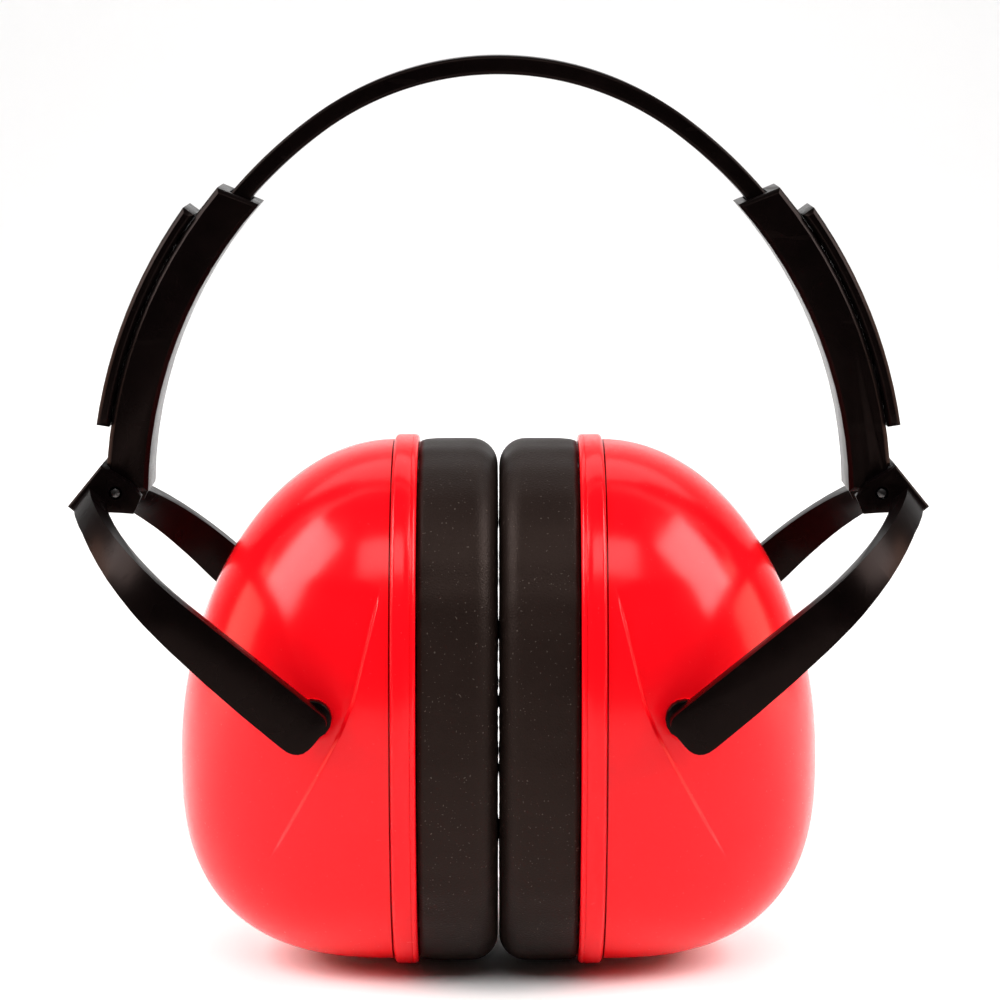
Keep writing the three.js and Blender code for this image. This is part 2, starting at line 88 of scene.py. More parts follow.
class Field:
    """A value that varies over a surface, which Python's operators turn into Math nodes."""

    def __init__(self, shader: "Shader", socket: bpy.types.NodeSocket) -> None:
        """Keeps a socket.

        Args:
            shader: The shader that the socket belongs to.
            socket: The output that carries the value.
        """
        self.shader = shader
        self.socket = socket

    def _math(self, operation: str, first: Any, second: Any) -> "Field":
        """Adds one Math node.

        Args:
            operation: The node's operation.
            first: The left value.
            second: The right value.

        Returns:
            The node's result.
        """
        return self.shader.node("ShaderNodeMath", {"operation": operation}, {0: first, 1: second})

    def __add__(self, other: Any) -> "Field":
        """Sum."""
        return self._math("ADD", self, other)

    def __mul__(self, other: Any) -> "Field":
        """Product."""
        return self._math("MULTIPLY", self, other)

    __radd__ = __add__
    __rmul__ = __mul__

    def above(self, level: float) -> "Field":
        """One where the field is over a level, and zero elsewhere."""
        return self._math("GREATER_THAN", self, level)


class Shader:
    """A node material being built."""

    def __init__(self, name: str) -> None:
        """Starts a material with a Principled shader.

        Args:
            name: The material's name.
        """
        self.material = bpy.data.materials.new(name)
        self.material.use_nodes = True
        self.tree = self.material.node_tree
        self.tree.nodes.clear()
        output = self.tree.nodes.new("ShaderNodeOutputMaterial")
        self.surface = self.tree.nodes.new("ShaderNodeBsdfPrincipled")
        self.tree.links.new(self.surface.outputs[0], output.inputs["Surface"])
        self.place = self.node("ShaderNodeTexCoord", {}, {}, "Object")

    def node(self, kind: str, settings: dict[str, Any], inputs: dict[Any, Any], output: Any = 0) -> Field:
        """Adds a node.

        Args:
            kind: The node's type.
            settings: Its properties, and for a ramp its stops as (place, colour) pairs.
            inputs: The value or field of each of its sockets.
            output: The output that is wanted.

        Returns:
            That output.
        """
        added = self.tree.nodes.new(kind)
        for key, value in settings.items():
            if key == "stops":
                ramp = added.color_ramp.elements
                for index, (place, colour) in enumerate(value):
                    stop = ramp[index] if index < 2 else ramp.new(place)
                    stop.position = place
                    stop.color = (*colour, 1)
            else:
                setattr(added, key, value)
        for key, value in inputs.items():
            if isinstance(value, Field):
                self.tree.links.new(value.socket, added.inputs[key])
            else:
                added.inputs[key].default_value = value
        return Field(self, added.outputs[output])

    def noise(self, scale: float, detail: float = 2, place: "Field | None" = None) -> Field:
        """Soft noise.

        Args:
            scale: How many of its lumps go into a metre.
            detail: How much finer noise lies on it.
            place: Where it is read, or the object's own coordinates.

        Returns:
            Its value, round a half.
        """
        inputs = {"Vector": place or self.place, "Scale": scale, "Detail": detail}
        return self.node("ShaderNodeTexNoise", {}, inputs)

    def stretched(self, scale: tuple[float, float, float]) -> Field:
        """The object's coordinates, stretched.

        Args:
            scale: The factor along each axis.

        Returns:
            The coordinates.
        """
        return self.node("ShaderNodeMapping", {}, {"Vector": self.place, "Scale": scale})

    def spread(self, value: Field, low: float, high: float) -> Field:
        """A field from 0 to 1, as a range of values.

        Args:
            value: The field.
            low: The value at 0.
            high: The value at 1.

        Returns:
            The new field.
        """
        return value * (high - low) + low

    def mix(self, factor: Field, first: tuple[float, ...], second: tuple[float, ...]) -> Field:
        """A colour between two.

        Args:
            factor: 0 for the first and 1 for the second.
            first: A colour.
            second: Another.

        Returns:
            The mixed colour.
        """
        return self.node("ShaderNodeValToRGB", {"stops": [(0.0, first), (1.0, second)]}, {0: factor})

    def bump(self, height: Field, depth: float, strength: float = 1.0, under: "Field | None" = None) -> Field:
        """A normal from a height.

        Args:
            height: The height, about 0 to 1.
            depth: How deep that is, in metres.
            strength: How strongly it acts.
            under: The normal of a coarser bump below it.

        Returns:
            The normal.
        """
        inputs = {"Height": height, "Distance": depth, "Strength": strength}
        if under is not None:
            inputs["Normal"] = under
        return self.node("ShaderNodeBump", {}, inputs)

    def finish(self, **sockets: Any) -> bpy.types.Material:
        """Sets the Principled shader's sockets.

        Args:
            sockets: A value or field for each socket, with underscores for spaces.

        Returns:
            The material.
        """
        for key, value in sockets.items():
            socket = self.surface.inputs[key.replace("_", " ").title().replace("Ior", "IOR")]
            if isinstance(value, Field):
                self.tree.links.new(value.socket, socket)
            else:
                socket.default_value = value
        return self.material


@dataclass(frozen=True)
class RedShell:
    """Glossy red injection-moulded shell, with a faint mould texture and dust specks."""

    deep: tuple[float, float, float] = (0.74, 0.0022, 0.006)
    bright: tuple[float, float, float] = (0.86, 0.0035, 0.009)
    slot: str = "red_shell"

    def material(self) -> bpy.types.Material:
        """The shell's material."""
        s = Shader("red_shell_gloss")
        cloud = s.noise(22, 2)
        dust = s.noise(1500, 1).above(0.76)
        haze = s.noise(160, 4, s.stretched((1.0, 1.0, 0.25)))
        wave = s.bump(s.noise(55, 1), 0.00035, 0.12)
        grain = s.bump(s.noise(2600, 2), 0.00002, 0.10, wave)
        return s.finish(
            base_color=s.mix(cloud, self.deep, self.bright),
            roughness=s.spread(haze, 0.12, 0.26) + dust * 0.25,
            ior=1.45,
            specular_ior_level=0.24,
            normal=grain,
        )


@dataclass(frozen=True)
class BlackPlastic:
    """Satin black plastic, with moulding streaks and fine scratches."""

    name: str = "black_plastic_satin"
    slot: str = "black_plastic"
    dark: tuple[float, float, float] = (0.0007, 0.0004, 0.0004)
    worn: tuple[float, float, float] = (0.0026, 0.0014, 0.0014)
    low: float = 0.20
    high: float = 0.36

    def material(self) -> bpy.types.Material:
        """The plastic's material."""
        s = Shader(self.name)
        streak = s.noise(300, 3, s.stretched((1.0, 0.12, 1.0)))
        cloud = s.noise(70, 3)
        scratch = s.noise(1500, 1, s.stretched((0.05, 1.0, 0.22))).above(0.70)
        pores = s.bump(s.noise(3200, 3), 0.00003, 0.30)
        lines = s.bump(streak, 0.00012, 0.10, pores)
        return s.finish(
            base_color=s.mix(cloud * streak * 1.7, self.dark, self.worn),
            roughness=s.spread(cloud, self.low, self.high) + scratch * 0.10,
            ior=1.5,
            specular_ior_level=0.07,
            specular_tint=(1.0, 0.68, 0.60, 1),
            normal=lines,
        )


@dataclass(frozen=True)
class DrawnSteel:
    """Blackened drawn steel, with fine turning marks along Y."""

    slot: str = "pin_steel"

    def material(self) -> bpy.types.Material:
        """The steel's material."""
        s = Shader("pin_steel_drawn")
        marks = s.noise(4000, 2, s.stretched((1.0, 0.05, 1.0)))
        cloud = s.noise(900, 2)
        return s.finish(
            base_color=s.mix(cloud, (0.045, 0.042, 0.042), (0.10, 0.095, 0.092)),
            metallic=1.0,
            roughness=s.spread(marks, 0.24, 0.42),
            normal=s.bump(marks, 0.00002, 0.25),
        )


@dataclass(frozen=True)
class CushionFoil:
    """Soft vinyl foil with a fine leather grain and light specks of dust."""

    slot: str = "cushion_foil"

    def material(self) -> bpy.types.Material:
        """The foil's material."""
        s = Shader("cushion_foil_grained")
        inputs = {"Vector": s.place, "Scale": 1500}
        cells = s.node("ShaderNodeTexVoronoi", {"feature": "DISTANCE_TO_EDGE"}, inputs)
        fine = s.noise(4200, 3)
        cloud = s.noise(60, 3)
        specks = s.noise(2600, 0).above(0.80)
        soft = s.bump(s.noise(240, 2), 0.0003, 0.16)
        leather = s.bump(cells, 0.0002, 0.35, soft)
        grain = s.bump(fine, 0.00005, 0.35, leather)
        tint = s.mix(cloud, (0.0066, 0.0038, 0.0030), (0.0125, 0.0074, 0.0060))
        dusty = s.node(
            "ShaderNodeMix",
            {"data_type": "RGBA"},
            {0: specks * 0.35, 6: tint, 7: (0.16, 0.13, 0.11, 1)},
            2,
        )
        return s.finish(
            base_color=dusty,
            roughness=s.spread(cloud, 0.36, 0.54) + specks * 0.2,
            ior=1.5,
            specular_ior_level=0.12,
            specular_tint=(1.0, 0.72, 0.62, 1),
            normal=grain,
        )


@dataclass(frozen=True)
class OpenFoam:
    """Dark open-cell foam, with painted shade in its cell pits."""

    slot: str = "foam"

    def material(self) -> bpy.types.Material:
        """The foam's material."""
        s = Shader("open_foam")
        cells = s.node("ShaderNodeTexVoronoi", {"feature": "F1"}, {"Vector": s.place, "Scale": 900})
        fine = s.noise(2500, 2)
        cloud = s.noise(120, 2)
        pits = s.bump(cells, 0.0006, 0.8)
        # Painted shade: the base colour is darkest in the cell pits that the bump sinks, and it also varies
        # at random with the cloud noise.
        return s.finish(
            base_color=s.mix(cells * 1.4 * cloud, (0.012, 0.0125, 0.014), (0.085, 0.087, 0.092)),
            roughness=s.spread(fine, 0.85, 1.0),
            normal=s.bump(fine, 0.0002, 0.4, pits),
        )


@dataclass(frozen=True)
class PaleFloor:
    """The plain pale floor that the earmuff stands on."""

    def material(self) -> bpy.types.Material:
        """The floor's material."""
        s = Shader("pale_floor")
        return s.finish(base_color=(0.93, 0.93, 0.93, 1), roughness=0.8)


class Finishes:
    """Every finish of the earmuff, made once."""

    def __init__(self) -> None:
        """Makes the materials."""
        self.red = RedShell()
        self.plastic = BlackPlastic()
        self.nylon = BlackPlastic("black_nylon_moulded", "black_nylon", low=0.36, high=0.55)
        self.steel = DrawnSteel()
        self.foil = CushionFoil()
        self.foam = OpenFoam()
        self.made = {
            finish.slot: finish.material()
            for finish in (self.red, self.plastic, self.nylon, self.steel, self.foil, self.foam)
        }

    def of(self, slot: str) -> bpy.types.Material:
        """The material of a slot."""
        return self.made[slot]


# ---------------------------------------------------------------------------------------------------------
# Mesh work
# ---------------------------------------------------------------------------------------------------------


def smoothstep(low: float, high: float, value: float) -> float:
    """A smooth rise from 0 at one value to 1 at another.

    Args:
        low: Where it is 0.
        high: Where it is 1.
        value: The value.

    Returns:
        The share.
    """
    share = min(max((value - low) / (high - low), 0.0), 1.0)
    return share * share * (3 - 2 * share)


def turned(name: str, mesh: bmesh.types.BMesh, side: Side, sharp: float = 32.0) -> bpy.types.Object:
    """A finished object from a mesh in millimetres that was made for the left side.

    Args:
        name: The object's name.
        mesh: The mesh, which is used up.
        side: The side it is for: the right one is mirrored.
        sharp: The angle over which an edge is drawn sharp, in degrees.

    Returns:
        The object, at the origin.
    """
    bmesh.ops.scale(mesh, vec=(side.sign * MM, MM, MM), verts=mesh.verts)
    if side is Side.RIGHT:
        bmesh.ops.reverse_faces(mesh, faces=mesh.faces)
    limit = math.radians(sharp)
    for face in mesh.faces:
        face.smooth = True
    for edge in mesh.edges:
        edge.smooth = edge.is_manifold and edge.calc_face_angle(0.0) < limit
    data = bpy.data.meshes.new(name)
    mesh.to_mesh(data)
    mesh.free()
    made = bpy.data.objects.new(name, data)
    bpy.context.scene.collection.objects.link(made)
    return made


def dressed(
    made: bpy.types.Object, body: str, finishes: Finishes, slot: str, *nodes: str
) -> bpy.types.Object:
    """A piece with its finish, riding on its body in place of its nodes.

    Args:
        made: The piece.
        body: The body it rides on, or nothing to leave it unattached.
        finishes: The finishes.
        slot: The finish's slot.
        nodes: The nodes it stands for.

    Returns:
        The piece.
    """
    made.data.materials.clear()
    made.data.materials.append(finishes.of(slot))
    if body:
        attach(made, body)
    if nodes:
        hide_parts(*nodes)
    LOG.info("%s: %d faces", made.name, len(made.data.polygons))
    return made


def refined(
    node: str, name: str, side: Side, round_edge: float, segments: int = 2, sharp: float = 24.0
) -> bpy.types.Object:
    """A node's solid with its flat faces made whole, its edges rounded and its curves shaded smooth.

    Args:
        node: The node that is copied.
        name: The new object's name.
        side: The node's own side, which the copy keeps.
        round_edge: The radius of its edges.
        segments: How many faces go round an edge.
        sharp: The angle over which an edge is rounded, in degrees.

    Returns:
        The object.
    """
    mesh = bmesh.new()
    mesh.from_mesh(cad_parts[node].data)
    bmesh.ops.remove_doubles(mesh, verts=mesh.verts, dist=0.00001)
    bmesh.ops.dissolve_limit(
        mesh, angle_limit=math.radians(0.6), verts=mesh.verts, edges=mesh.edges, delimit=set()
    )
    bmesh.ops.scale(mesh, vec=(side.sign / MM, 1 / MM, 1 / MM), verts=mesh.verts)
    if side is Side.RIGHT:
        bmesh.ops.reverse_faces(mesh, faces=mesh.faces)
    limit = math.radians(sharp)
    edges = [edge for edge in mesh.edges if edge.is_manifold and edge.calc_face_angle(0.0) > limit]
    bmesh.ops.bevel(
        mesh,
        geom=edges,
        offset=round_edge,
        offset_type="OFFSET",
        affect="EDGES",
        segments=segments,
        profile=0.5,
        material=-1,
        clamp_overlap=True,
        loop_slide=True,
    )
    return turned(name, mesh, side, sharp=40.0)


@dataclass(frozen=True)
class Ring:
    """A superellipse ring that faces along X."""

    x: float
    half_width: float
    top: float
    bottom: float


def loft_rings(rings: Sequence[Ring], steps: int, power: float) -> bmesh.types.BMesh:
    """A surface through rings: a profile is spun round X, and then each of its rings takes its own shape.

    Args:
        rings: The rings, in order along the surface.
        steps: How many points lie on each.
        power: The superellipse's power.

    Returns:
        The mesh.
    """
    mesh = bmesh.new()
    verts = [mesh.verts.new((index, 0, 1)) for index in range(len(rings))]
    edges = [mesh.edges.new(pair) for pair in zip(verts, verts[1:])]
    bmesh.ops.spin(
        mesh,
        geom=verts + edges,
        cent=(0, 0, 0),
        axis=(1, 0, 0),
        dvec=(0, 0, 0),
        angle=math.tau,
        steps=steps,
        use_merge=True,
        use_normal_flip=False,
        use_duplicate=False,
    )
    for vert in mesh.verts:
        ring = rings[round(vert.co.x)]
        turn = math.atan2(vert.co.y, vert.co.z)
        across = math.copysign(abs(math.sin(turn)) ** (2 / power), math.sin(turn))
        along = math.copysign(abs(math.cos(turn)) ** (2 / power), math.cos(turn))
        middle = (ring.top + ring.bottom) / 2
        vert.co = (ring.x, ring.half_width * across, middle + (ring.top - ring.bottom) / 2 * along)
    bmesh.ops.remove_doubles(mesh, verts=mesh.verts, dist=0.002)
    bmesh.ops.recalc_face_normals(mesh, faces=mesh.faces)
    return mesh


# ---------------------------------------------------------------------------------------------------------
# Cups
# ---------------------------------------------------------------------------------------------------------


@dataclass
class Cup:
    """A cup: the domed shell, its rim, the sound-absorbing liner and the ring cushion."""

    side: Side
    finishes: Finishes
    height: float = 110
    width: float = 84
    power: float = 2.3
    dome_depth: float = 44.8
    apex_drop: float = 12.6
    lower_power: float = 2.6
    wall: float = 2.5
    step: float = 1.0
    rim_depth: float = 5
    rim_band: float = 4.3
    gap: float = 0.3
    drop: float = 129
    cushion: float = 16.2
    cushion_inset: float = 0.8
    cushion_ring: float = 19.2
    cushion_round: float = 5.5
    skin: float = 0.9
    pivot_x: float = -36.5
    pivot_z: float = 4.3
    boss_radius: float = 3.6
    crease: tuple[tuple[float, float], ...] = ((-22.9, 29.3), (-28.3, 7.2), (-30.8, 1.0), (-46.0, -27.4))
    crease_step: float = 0.75

    @property
    def rim_front(self) -> float:
        """Where the rim meets the cushion."""
        return -self.cushion

    @property
    def rim_back(self) -> float:
        """Where the rim meets the dome."""
        return self.rim_front - self.rim_depth

    @property
    def body(self) -> str:
        """The cup's body."""
        return self.side.name("cup")

    def place(self, mesh: bmesh.types.BMesh) -> bmesh.types.BMesh:
        """Moves a mesh from the cup's own frame into the part's."""
        bmesh.ops.translate(mesh, vec=(-self.gap / 2, 0, -self.drop), verts=mesh.verts)
        return mesh

    def outline(self, x: float, inset: float) -> Ring:
        """A ring of the cup's outline.

        Args:
            x: Where it lies.
            inset: How far it lies inside the outline.

        Returns:
            The ring.
        """
        half = self.height / 2 - inset
        return Ring(x, self.width / 2 - inset, half, -half)

    def dome(self, share: float, inset: float) -> Ring:
        """A ring of the dome.

        Args:
            share: 0 at the rim and 1 at the apex.
            inset: How far the surface lies inside the dome.

        Returns:
            The ring.
        """
        upper = self.height / 2 - self.step + self.apex_drop - inset
        lower = self.height / 2 - self.step - self.apex_drop - inset
        round_share = math.sqrt(max(1 - share**2, 0.0))
        full_share = max(1 - share**self.lower_power, 0.0) ** (1 / self.lower_power)
        return Ring(
            self.rim_back - share * (self.dome_depth - inset),
            (self.width / 2 - self.step - inset) * round_share,
            upper * round_share - self.apex_drop,
            -lower * full_share - self.apex_drop,
        )

    def dome_rings(self, start: float, inset: float, steps: int) -> list[Ring]:
        """Rings of the dome from one share up to the apex.

        Args:
            start: The first ring's share.
            inset: How far the surface lies inside the dome.
            steps: How many steps there are.

        Returns:
            The rings, with the apex last.
        """
        first = math.asin(start)
        turns = [first + (math.pi / 2 - first) * index / steps for index in range(steps + 1)]
        return [self.dome(math.sin(turn), inset) for turn in turns]

    def crease_depth(self, x: float, z: float) -> float:
        """How far the dome is set back by the clearing in which a prong swings.

        Args:
            x: A place on the dome, in the cup's own frame.
            z: Its height.

        Returns:
            The depth at that place.
        """
        nearest, signed, along = 1e9, 0.0, 0.0
        lengths = [math.dist(a, b) for a, b in zip(self.crease, self.crease[1:])]
        total = sum(lengths)
        run = 0.0
        for (start, end), length in zip(zip(self.crease, self.crease[1:]), lengths):
            ux, uz = (end[0] - start[0]) / length, (end[1] - start[1]) / length
            dx, dz = x - start[0], z - start[1]
            travel = min(max(dx * ux + dz * uz, 0.0), length)
            away = math.hypot(dx - travel * ux, dz - travel * uz)
            if away < nearest:
                nearest = away
                signed = math.copysign(away, dx * -uz + dz * ux)
                along = (run + travel) / total
            run += length
        outward = -signed
        edge = smoothstep(-0.1, 0.5, outward)
        fade = 1 - smoothstep(3, 22, outward)
        ends = smoothstep(0.0, 0.08, along) * (1 - smoothstep(0.86, 1.0, along))
        return self.crease_step * edge * fade * ends

    def shell(self) -> bpy.types.Object:
        """The domed shell, with its spigot, its hollow and the bosses for the studs."""
        spigot = self.rim_band + self.gap
        shoulder = self.rim_back - self.gap
        hollow = shoulder - self.wall
        dome_steps = 60
        outside = self.dome_rings(self.gap / self.dome_depth, 0, dome_steps)[::-1]
        rings = [
            *outside,
            self.outline(shoulder, self.step + 0.6),
            self.outline(shoulder, spigot),
            self.outline(self.rim_front - self.gap, spigot),
            self.outline(self.rim_front - self.gap, spigot + self.wall),
            self.outline(hollow, spigot + self.wall),
            *self.dome_rings((self.rim_back - hollow) / (self.dome_depth - self.wall), self.wall, 24),
        ]
        mesh = loft_rings(rings, 224, self.power)
        self.cut_crease(mesh)
        mesh.normal_update()
        for vert in mesh.verts:
            x, y, z = vert.co
            if x < shoulder and vert.normal.y * y > 0 and abs(y) > 8:
                facing = smoothstep(0.25, 0.55, abs(vert.normal.y))
                vert.co.y -= math.copysign(self.crease_depth(x, z) * facing, y)
        half_width = max(
            abs(v.co.y)
            for v in mesh.verts
            if math.hypot(v.co.x - self.pivot_x, v.co.z - self.pivot_z) < 2.5
        )
        for end in (-1, 1):
            self.add_boss(mesh, end, half_width)
        return dressed(
            turned(self.side.name("cup_shell_dome"), self.place(mesh), self.side),
            self.body,
            self.finishes,
            "red_shell",
            self.side.name("cup_shell"),
        )

    def cut_crease(self, mesh: bmesh.types.BMesh) -> None:
        """Cuts lines into the dome's front and back along the crease, so that its step is crisp.

        Args:
            mesh: The shell's mesh.
        """
        for start, end in zip(self.crease, self.crease[1:]):
            length = math.dist(start, end)
            ux, uz = (end[0] - start[0]) / length, (end[1] - start[1]) / length
            for offset in (-0.5, -0.12, 0.04, 0.2, 0.36, 0.52, 0.9):
                near = []
                for face in mesh.faces:
                    x, y, z = face.calc_center_median()
                    dx, dz = x - start[0], z - start[1]
                    travel = dx * ux + dz * uz
                    beside = -4 < travel < length + 4 and abs(dz * ux - dx * uz) < 6
                    if beside and abs(y) > 12 and x < self.rim_back:
                        near.append(face)
                geom = list({item for face in near for item in (*face.verts, *face.edges)}) + near
                point = (start[0] + uz * offset, 0, start[1] - ux * offset)
                bmesh.ops.bisect_plane(mesh, geom=geom, dist=0.0001, plane_co=point, plane_no=(uz, 0, -ux))

    def add_boss(self, mesh: bmesh.types.BMesh, end: int, face: float) -> None:
        """Adds the round boss that a stud's collar bears on.

        Args:
            mesh: The shell's mesh.
            end: -1 at the front and 1 at the back.
            face: How far out the shell's side is there.
        """
        made = bmesh.ops.create_cone(
            mesh,
            cap_ends=True,
            cap_tris=False,
            segments=64,
            radius1=self.boss_radius,
            radius2=self.boss_radius,
            depth=3.0,
            matrix=Matrix.Translation((self.pivot_x, end * (face + 0.25 - 1.5), self.pivot_z))
            @ Matrix.Rotation(math.pi / 2, 4, "X"),
        )
        rims = {edge for vert in made["verts"] for edge in vert.link_edges if len(edge.link_faces) == 2}
        rims = [edge for edge in rims if edge.calc_face_angle(0.0) > 1]
        bmesh.ops.bevel(
            mesh,
            geom=rims,
            offset=0.4,
            affect="EDGES",
            segments=3,
            profile=0.5,
            material=-1,
            clamp_overlap=True,
        )

    def rim(self) -> bpy.types.Object:
        """The ring round the shell's open side, with rounded outer edges and a fine parting line."""
        edge = 0.9
        rings = [self.outline(self.rim_back, self.rim_band), self.outline(self.rim_back, edge)]
        for start, x, turn in ((self.rim_back + edge, -1, 0), (self.rim_front - edge, 1, 1)):
            for index in range(6):
                angle = math.pi / 2 * index / 5
                bend = math.cos(angle) if turn == 0 else math.sin(angle)
                lift = math.sin(angle) if turn == 0 else math.cos(angle)
                rings.append(self.outline(start + x * edge * bend, edge * (1 - lift)))
            if turn == 0:
                seam = self.rim_back + 3.9
                rings += [
                    self.outline(seam - 0.16, 0.0),
                    self.outline(seam, 0.16),
                    self.outline(seam + 0.02, 0.0),
                ]
        rings += [self.outline(self.rim_front, self.rim_band), self.outline(self.rim_back, self.rim_band)]
        mesh = loft_rings(rings, 256, self.power)
        return dressed(
            turned(self.side.name("cup_rim_ring"), self.place(mesh), self.side, sharp=50.0),
            self.body,
            self.finishes,
            "red_shell",
            self.side.name("cup_rim"),
        )

    def liner(self) -> bpy.types.Object:
        """The bowl of foam in the dome."""
        outer = self.wall + 0.6
        inner = outer + 8
        rings = [
            *self.dome_rings(21 / (self.dome_depth - outer), outer, 14)[::-1],
            *self.dome_rings(21 / (self.dome_depth - inner), inner, 14),
        ]
        mesh = loft_rings(rings, 72, self.power)
        return dressed(
            turned(self.side.name("cup_liner_foam"), self.place(mesh), self.side),
            self.body,
            self.finishes,
            "foam",
            self.side.name("cup_liner"),
        )

    def section(self, depth: float, back: float, corner_steps: int) -> list[Ring]:
        """The cushion's section, up its outer side, over its face and down its inner side.

        Args:
            depth: How far inside the surface it lies.
            back: Where its open back lies.
            corner_steps: How many steps go round each corner.

        Returns:
            The rings.
        """
        outer = self.cushion_inset
        inner = outer + self.cushion_ring
        bend = self.cushion_round - depth
        rings = []
        for share in (0.0, 0.12, 0.3, 0.55, 0.8):
            x = back + (-self.cushion_round - back) * share
            necking = 0.55 * math.exp(-share * 9) if depth == 0 else 0.0
            rings.append(self.outline(x, outer + depth + necking))
        for centre, start in ((outer + self.cushion_round, 0), (inner - self.cushion_round, 90)):
            for index in range(corner_steps + 1):
                angle = math.radians(start + 90 * index / corner_steps)
                rings.append(
                    self.outline(
                        -self.cushion_round + bend * math.sin(angle), centre - bend * math.cos(angle)
                    )
                )
            if start == 0:
                for share in (0.25, 0.5, 0.75):
                    width = self.cushion_ring - 2 * self.cushion_round
                    rings.append(self.outline(-self.cushion_round + bend, centre + width * share))
        for share in (0.7, 0.4, 0.15, 0.0):
            rings.append(self.outline(back + (-self.cushion_round - back) * share, inner - depth))
        return rings

    def cushion_cover(self) -> bpy.types.Object:
        """The ring cushion's vinyl cover, with the slight puckers of a skin drawn over foam."""
        back = self.rim_front + self.gap
        outside = self.section(0, back, 9)
        inside = self.section(self.skin, back, 4)
        mesh = loft_rings([*outside, *inside[::-1], outside[0]], 224, self.power)
        mesh.normal_update()
        for vert in mesh.verts:
            x, y, z = vert.co
            turn = math.atan2(y, z)
            reach = math.hypot(y / (self.width / 2), z / (self.height / 2))
            wave = math.sin(turn * 23 + 1.3) * math.sin(turn * 9 + 0.4) + 0.6 * math.sin(turn * 41 + 2.1)
            inner_side = smoothstep(0.80, 0.62, reach) if reach < 0.8 else 0.0
            near_back = smoothstep(-10, self.rim_front, x)
            vert.co += vert.normal * wave * (0.05 + 0.22 * inner_side + 0.05 * near_back)
        made = dressed(
            turned(self.side.name("cushion_skin"), self.place(mesh), self.side, sharp=75.0),
            self.body,
            self.finishes,
            "cushion_foil",
            self.side.name("cushion_cover"),
        )
        return self.soft(made, 0.9)

    def cushion_foam(self) -> bpy.types.Object:
        """The foam ring in the cushion."""
        rings = self.section(self.skin + self.gap, self.rim_front + self.gap + 1.8, 4)
        mesh = loft_rings([*rings, rings[0]], 72, self.power)
        made = dressed(
            turned(self.side.name("cushion_core"), self.place(mesh), self.side),
            self.body,
            self.finishes,
            "foam",
            self.side.name("cushion_foam"),
        )
        return self.soft(made, 0.9)

    def soft(self, made: bpy.types.Object, fill: float) -> bpy.types.Object:
        """A padded piece, given a mesh of its own.

        Args:
            made: The piece.
            fill: Not used.

        Returns:
            The piece.
        """
        self.side.name("fold")
        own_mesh(made)
        return made

    def build(self) -> None:
        """Builds every piece of the cup."""
        self.shell()
        self.rim()
        self.liner()
        self.cushion_foam()
        self.cushion_cover()


# ---------------------------------------------------------------------------------------------------------
# Head strip and arms
# ---------------------------------------------------------------------------------------------------------


@dataclass
class HeadStrip:
    """One half of the springy strip, from the crown out to its arm."""

    side: Side
    finishes: Finishes
    crown_radius: float = 62
    crown_half_angle: float = 36
    shoulder_radius: float = 95
    thickness: float = 3.8
    width: float = 11
    flat: float = 6
    shoulder_length: float = 63.8
    edge: float = 0.75
    flex_x: float = -29.0
    flex_z: float = -5.2

    def build(self) -> bpy.types.Object:
        """The half strip: a rounded bar section, swept out along the crown arc and then the shoulder arc."""
        crown_z = -math.sqrt((self.crown_radius - self.thickness / 2) ** 2 - (self.flat / 2) ** 2)
        mesh = bmesh.new()
        made = bmesh.ops.create_grid(mesh, x_segments=1, y_segments=1, size=0.5)
        bmesh.ops.scale(mesh, vec=(self.thickness, self.width, 1), verts=made["verts"])
        bmesh.ops.bevel(
            mesh,
            geom=list(mesh.verts),
            offset=self.edge,
            affect="VERTICES",
            segments=4,
            profile=0.5,
            material=-1,
        )
        middle = crown_z + self.crown_radius
        turn = Matrix.Translation((0, 0, middle)) @ Matrix.Rotation(math.pi / 2, 4, "Y")
        bmesh.ops.transform(mesh, matrix=turn, verts=mesh.verts)
        meet = math.radians(self.crown_half_angle)
        offset = self.crown_radius - self.shoulder_radius
        shoulder = (-offset * math.sin(meet), 0, crown_z + offset * math.cos(meet))
        sweep = self.shoulder_length / self.shoulder_radius
        start = mesh.faces[:]
        for centre, angle, steps in (((0, 0, crown_z), meet, 40), (shoulder, sweep, 36)):
            swept = bmesh.ops.spin(
                mesh,
                geom=start,
                cent=centre,
                axis=(0, -1, 0),
                dvec=(0, 0, 0),
                angle=angle,
                steps=steps,
                use_merge=False,
                use_normal_flip=False,
                use_duplicate=False,
            )
            start = [item for item in swept["geom_last"] if isinstance(item, bmesh.types.BMFace)]
        bmesh.ops.remove_doubles(mesh, verts=mesh.verts, dist=0.001)
        bmesh.ops.recalc_face_normals(mesh, faces=mesh.faces)
        made = turned(self.side.name("head_strip"), mesh, self.side)
        dressed(made, "", self.finishes, "black_plastic", "head_band")
        self.side.name("band_end")
        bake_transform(made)
        return made


@dataclass
class Arm:
    """A sliding arm with its cover plate, the clip inside it and the hinge pin."""

    side: Side
    finishes: Finishes

    def build(self) -> None:
        """Builds the arm's pieces from their solids, with rounded edges."""
        for node, piece, body, slot, edge in (
            ("arm_sleeve", "sleeve", "arm", "black_plastic", 0.22),
            ("arm_cover", "cover_plate", "arm", "black_plastic", 0.22),
            ("hinge_pin", "pin", "arm", "pin_steel", 0.75),
            ("slide_stop", "clip", "band_end", "black_nylon", 0.15),
        ):
            name = self.side.name(node)
            made = refined(name, self.side.name(piece), self.side, edge)
            dressed(made, self.side.name(body), self.finishes, slot, name)


